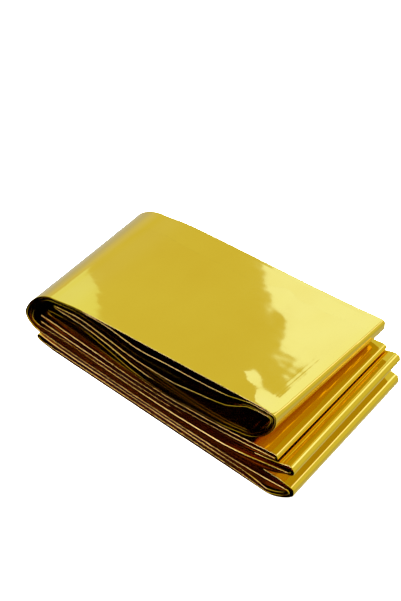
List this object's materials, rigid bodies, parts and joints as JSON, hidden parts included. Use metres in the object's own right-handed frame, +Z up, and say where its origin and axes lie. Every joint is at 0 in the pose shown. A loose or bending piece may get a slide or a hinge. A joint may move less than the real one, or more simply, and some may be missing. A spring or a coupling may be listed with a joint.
{
  "type": "emergency foil blanket, folded",
  "caption": "Metallised gold foil rescue blanket folded back and forth into a loose rectangular packet, lying flat, for warming or wrapping a person.",
  "frame": {"origin": "on the surface the packet lies on, under the middle of its box", "axes": "+X along the packet from the end where its outer layers wrap round to the end with its loose folds, +Y from the layers' front edges to their back edges, +Z up"},
  "size_m": [0.1572, 0.0796, 0.0566],
  "materials": {
    "gold_foil": "metallised mirror-gloss film, gold"
  },
  "bodies": {
    "root": {"foil_blanket": "gold_foil"}
  },
  "joints": []
}
